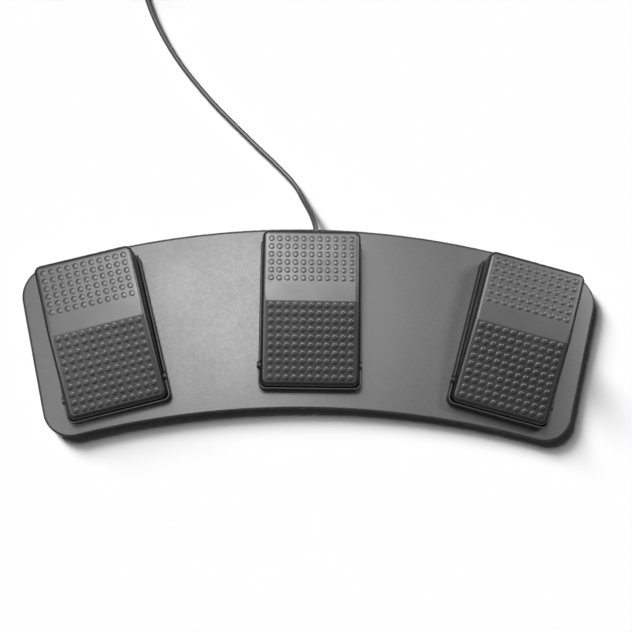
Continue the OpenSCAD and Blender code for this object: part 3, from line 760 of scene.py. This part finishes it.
def centre_lead():
    """The centre lead's corners, all inside its own tray."""
    return [
        Vector(TERMINAL),
        Vector((SWITCH_X, CENTRE_RUN_Y, WIRE_Z)),
        Vector((CENTRE_SOCKET_X, CENTRE_RUN_Y, WIRE_Z)),
        Vector((CENTRE_SOCKET_X, CENTRE_RUN_Y, SOCKET_Z)),
        Vector((CENTRE_SOCKET_X, SOCKET_Y, SOCKET_Z)),
    ]


def side_lead(side):
    """An outer lead's corners in the centre treadle's frame: down through the plate, along
    under it and up again to the board."""
    start = [
        TERMINAL, (SWITCH_X, SIDE_RUN_Y, WIRE_Z), (0, SIDE_RUN_Y, WIRE_Z), (0, SIDE_RUN_Y, LEAD_Z),
    ]
    to_centre = treadle_place(0).inverted() @ treadle_place(side)
    line = [to_centre @ Vector(spot) for spot in start]
    for i in range(1, LEAD_SPANS):
        angle = side * (FAN_ANGLE + (LEAD_HOLE_ANGLE - FAN_ANGLE) * i / LEAD_SPANS)
        line.append(
            Vector((LEAD_RUN_R * math.sin(angle), LEAD_RUN_R * math.cos(angle) - FAN_R, LEAD_Z))
        )
    x = side * LEAD_HOLE_X
    last = [(x, -LEAD_DROP, LEAD_Z), (x, -LEAD_DROP, SOCKET_Z), (x, SOCKET_Y, SOCKET_Z)]
    return line + [Vector(spot) for spot in last]


for name, side in SIDES.items():
    corners = side_lead(side) if side else centre_lead()
    lead, _ = swept(f"{name}_switch_lead", bends(corners, LEAD_BEND), LEAD_D, 0, treadle_place(0))
    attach(lead, "stand")
    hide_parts(f"{name}_lead")
    dress(lead, "cable")


# Plug, and the sleeve where the cable leaves the housing
PLUG_X = -193.0
PLUG_END_Y = 250.685
GRIP_W = 16.0
GRIP_L = 26.0
GRIP_H = 8.0
SHELL_W = 12.0
SHELL_L = 12.0
FACE_FIT = 0.02


def on_grip_box(edge):
    """An outer edge of the grip's box, where two of its faces meet."""
    for vert in edge.verts:
        x, y, z = vert.co / MM
        to_faces = [
            abs(abs(x - PLUG_X) - GRIP_W / 2),
            min(abs(y - PLUG_END_Y - SHELL_L), abs(y - PLUG_END_Y - SHELL_L - GRIP_L)),
            min(abs(z), abs(z - GRIP_H)),
        ]
        if sum(gap < FACE_FIT for gap in to_faces) < 2:
            return False
    return True


def on_shell_length(edge):
    """An edge that runs along the metal shell at one of its sides."""
    a, b = (v.co / MM for v in edge.verts)
    return abs(abs(a.x - PLUG_X) - SHELL_W / 2) < FACE_FIT and abs(a.y - b.y) > SHELL_L / 2


plug_grip = softened(
    "moulded_plug_grip", "plug_grip", "plug",
    [(0.75, 4, on_grip_box), (0.18, 2, lambda e: not on_grip_box(e))],
)
plug_shell = softened("bent_plug_shell", "plug_shell", "shell", [(0.6, 4, on_shell_length)])
softened("cable_sleeve", "strain_relief", "rubber", [(0.2, 2, anywhere)])

for part in frame["record"]["subparts"]:
    dress(frame["nodes"][part["node"]], part["material_slot"])
dress(cable, "cable")
dress(cable_inside, "cable")


# Floor, dark flags and world
FLOOR_HALF = 4.0
FLOOR_LIT = grey(0.72)
WORLD_LIT = grey(0.025)
SEEN_WHITE = grey(1.0)
FLAG_R = 1.4
FLAG_FOOT = 0.15
FLAG_TOP = 1.6


def seen_directly(tree):
    """1 for what the camera sees, straight or in a gloss or through glass."""
    path = tree.nodes.new("ShaderNodeLightPath")
    total = path.outputs["Is Camera Ray"]
    for name in ("Is Glossy Ray", "Is Transmission Ray"):
        node = tree.nodes.new("ShaderNodeMath")
        node.operation = "MAXIMUM"
        tree.links.new(total, node.inputs[0])
        tree.links.new(path.outputs[name], node.inputs[1])
        total = node.outputs[0]
    return total


def set_piece(name, bm, look):
    """Part of the studio set, not of the object."""
    mesh = bpy.data.meshes.new(name)
    bm.to_mesh(mesh)
    bm.free()
    mesh.materials.append(look)
    made = placed(name, mesh)
    made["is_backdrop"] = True
    return made


floor_look, tree, shader = material("white_floor")
shader.inputs["Roughness"].default_value = 0.9
shader.inputs["Specular IOR Level"].default_value = 0.0
tree.links.new(
    shades(tree, seen_directly(tree), FLOOR_LIT, SEEN_WHITE), shader.inputs["Base Color"]
)
bm = bmesh.new()
bmesh.ops.create_grid(bm, x_segments=1, y_segments=1, size=FLOOR_HALF)
floor = set_piece("floor", bm, floor_look)

# The flags stand round the set at mid height, and only glosses see them
flag_look, tree, shader = material("dark_flag_cloth")
shader.inputs["Base Color"].default_value = (*grey(0.01), 1)
shader.inputs["Specular IOR Level"].default_value = 0.0
bm = bmesh.new()
bmesh.ops.create_cone(
    bm, cap_ends=False, segments=64, radius1=FLAG_R, radius2=FLAG_R, depth=FLAG_TOP - FLAG_FOOT,
    matrix=Matrix.Translation((0, 0, (FLAG_TOP + FLAG_FOOT) / 2)),
)
flags = set_piece("dark_flags", bm, flag_look)
flags.visible_camera = False
flags.visible_diffuse = False
flags.visible_transmission = False
flags.visible_shadow = False

world = bpy.data.worlds.new("studio")
bpy.context.scene.world = world
world.use_nodes = True
tree = world.node_tree
backdrop = tree.nodes["Background"]
backdrop.inputs["Strength"].default_value = 1.0
tree.links.new(
    shades(tree, seen_directly(tree), WORLD_LIT, SEEN_WHITE), backdrop.inputs["Color"]
)


# Lamps
def turned(lamp, aim):
    """Turns the lamp to shine along aim."""
    lamp.rotation_euler = Vector(aim).to_track_quat("-Z", "Y").to_euler()


def softbox(name, spot, target, width, power):
    """A square lamp; its place and width are in metres and its power in watts."""
    data = bpy.data.lights.new(name, "AREA")
    data.shape = "RECTANGLE"
    data.size = width
    data.size_y = width
    data.energy = power
    lamp = placed(name, data)
    lamp.location = spot
    turned(lamp, Vector(target) - Vector(spot))
    return lamp


def linked(name, state, pieces):
    """A group that a lamp lights, or leaves out, by its link state."""
    group = bpy.data.collections.new(name)
    for piece in pieces:
        group.objects.link(piece)
    for entry in group.collection_objects:
        entry.light_linking.link_state = state
    return group


# Soft light on the object alone, which none of its glosses show
back = softbox("back", (-0.35, 0.80, 1.10), (0, 0, 0), 1.0, 26.0)
back.light_linking.receiver_collection = linked("not_the_floor", "EXCLUDE", [floor])
back.visible_glossy = False

# Lamps that show only in the glosses: name, place and power
for name, spot, power in (
    ("overhead_sheen", (-0.145, 0.27, 1.15), 27.5),
    ("left_sheen", (-0.60, -0.25, 1.05), 9.7),
    ("right_sheen", (0.78, 0.35, 1.05), 23.0),
):
    sheen = softbox(name, spot, (spot[0] / 4, 0, 0), 0.30, power)
    sheen.visible_diffuse = False

# The floor suns' heading over the ground, and the run over which they fall at their height
SUN_HEADING = (0.95, -1.05)
SUN_RUN = math.sqrt(2)

the_floor = linked("the_floor", "INCLUDE", [floor])
tall = [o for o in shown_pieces() if o.name.endswith(("_cover", "_tray"))]
low_pieces = linked("low_pieces", "EXCLUDE", tall)


def floor_sun(name, height, angle, share):
    """A low sun from the back left that only lights the floor; share 1 renders white as white."""
    data = bpy.data.lights.new(name, "SUN")
    data.energy = share * math.pi / math.sin(math.radians(height))
    data.angle = math.radians(angle)
    lamp = placed(name, data)
    turned(lamp, (*SUN_HEADING, -math.tan(math.radians(height)) * SUN_RUN))
    lamp.visible_glossy = False
    lamp.light_linking.receiver_collection = the_floor
    lamp.light_linking.blocker_collection = low_pieces


floor_sun("low_floor_sun", 21, 18, 0.66)
floor_sun("high_floor_sun", 36, 28, 0.31)

bpy.context.scene.view_settings.view_transform = "Standard"
